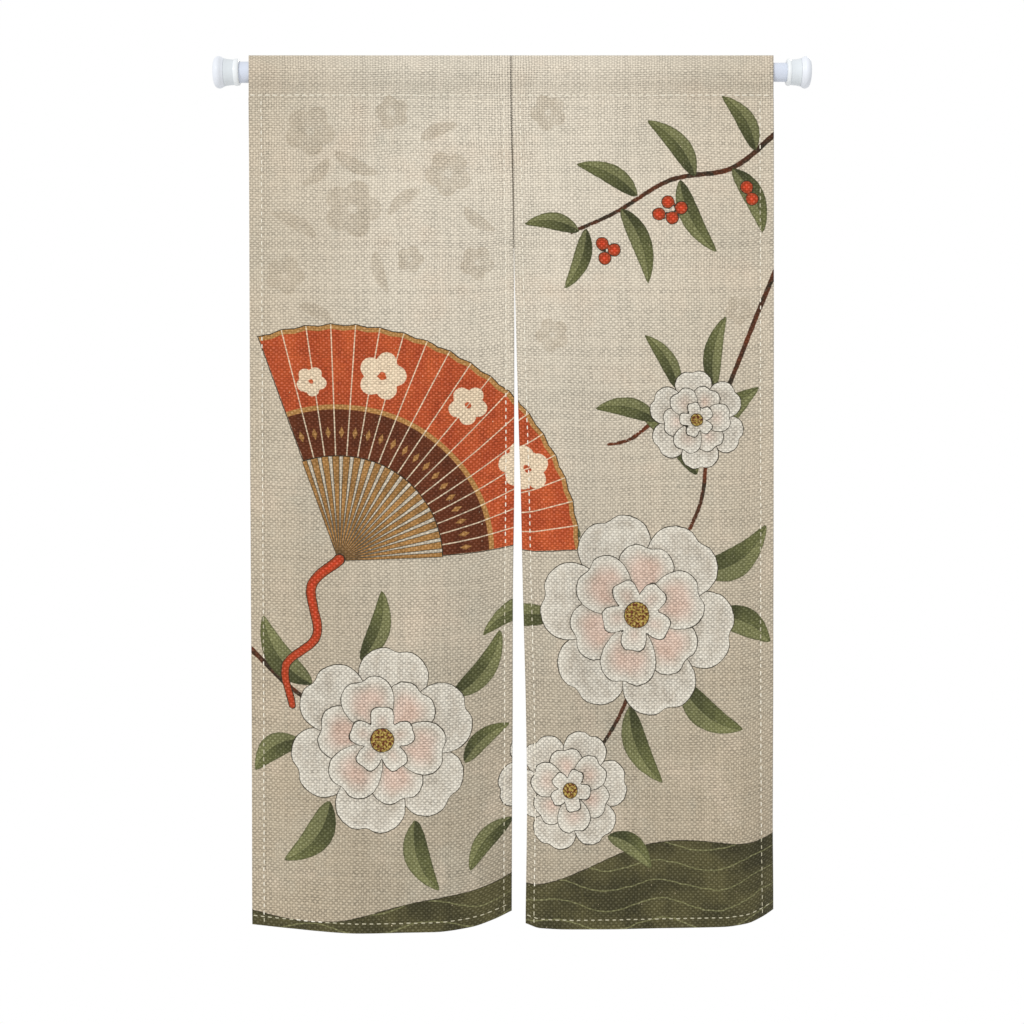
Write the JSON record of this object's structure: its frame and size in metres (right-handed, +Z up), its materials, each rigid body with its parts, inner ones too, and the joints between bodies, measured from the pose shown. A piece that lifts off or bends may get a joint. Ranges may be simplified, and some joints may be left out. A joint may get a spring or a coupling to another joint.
{
  "type": "noren curtain on a tension rod",
  "caption": "Split doorway curtain whose cloth panels hang by a sewn pocket from a telescoping tension rod with round end feet.",
  "frame": {"origin": "middle of the left foot's flat wall face, on the rod's axis", "axes": "+X runs along the rod from the left foot to the right foot, +Z is up, and -Y is the printed front"},
  "size_m": [0.976, 0.0691, 1.4355],
  "materials": {
    "cloth": "coarse plain-woven linen look, printed",
    "rod_tube": "smooth white coating with a cool tint",
    "rod_sleeve": "satin white moulding",
    "rod_foot": "soft white elastomer"
  },
  "bodies": {
    "root": {"left_panel": "cloth", "right_panel": "cloth", "rod_outer_tube": "rod_tube", "rod_inner_tube": "rod_tube", "left_sleeve": "rod_sleeve", "right_sleeve": "rod_sleeve", "left_foot": "rod_foot", "right_foot": "rod_foot"}
  },
  "joints": []
}
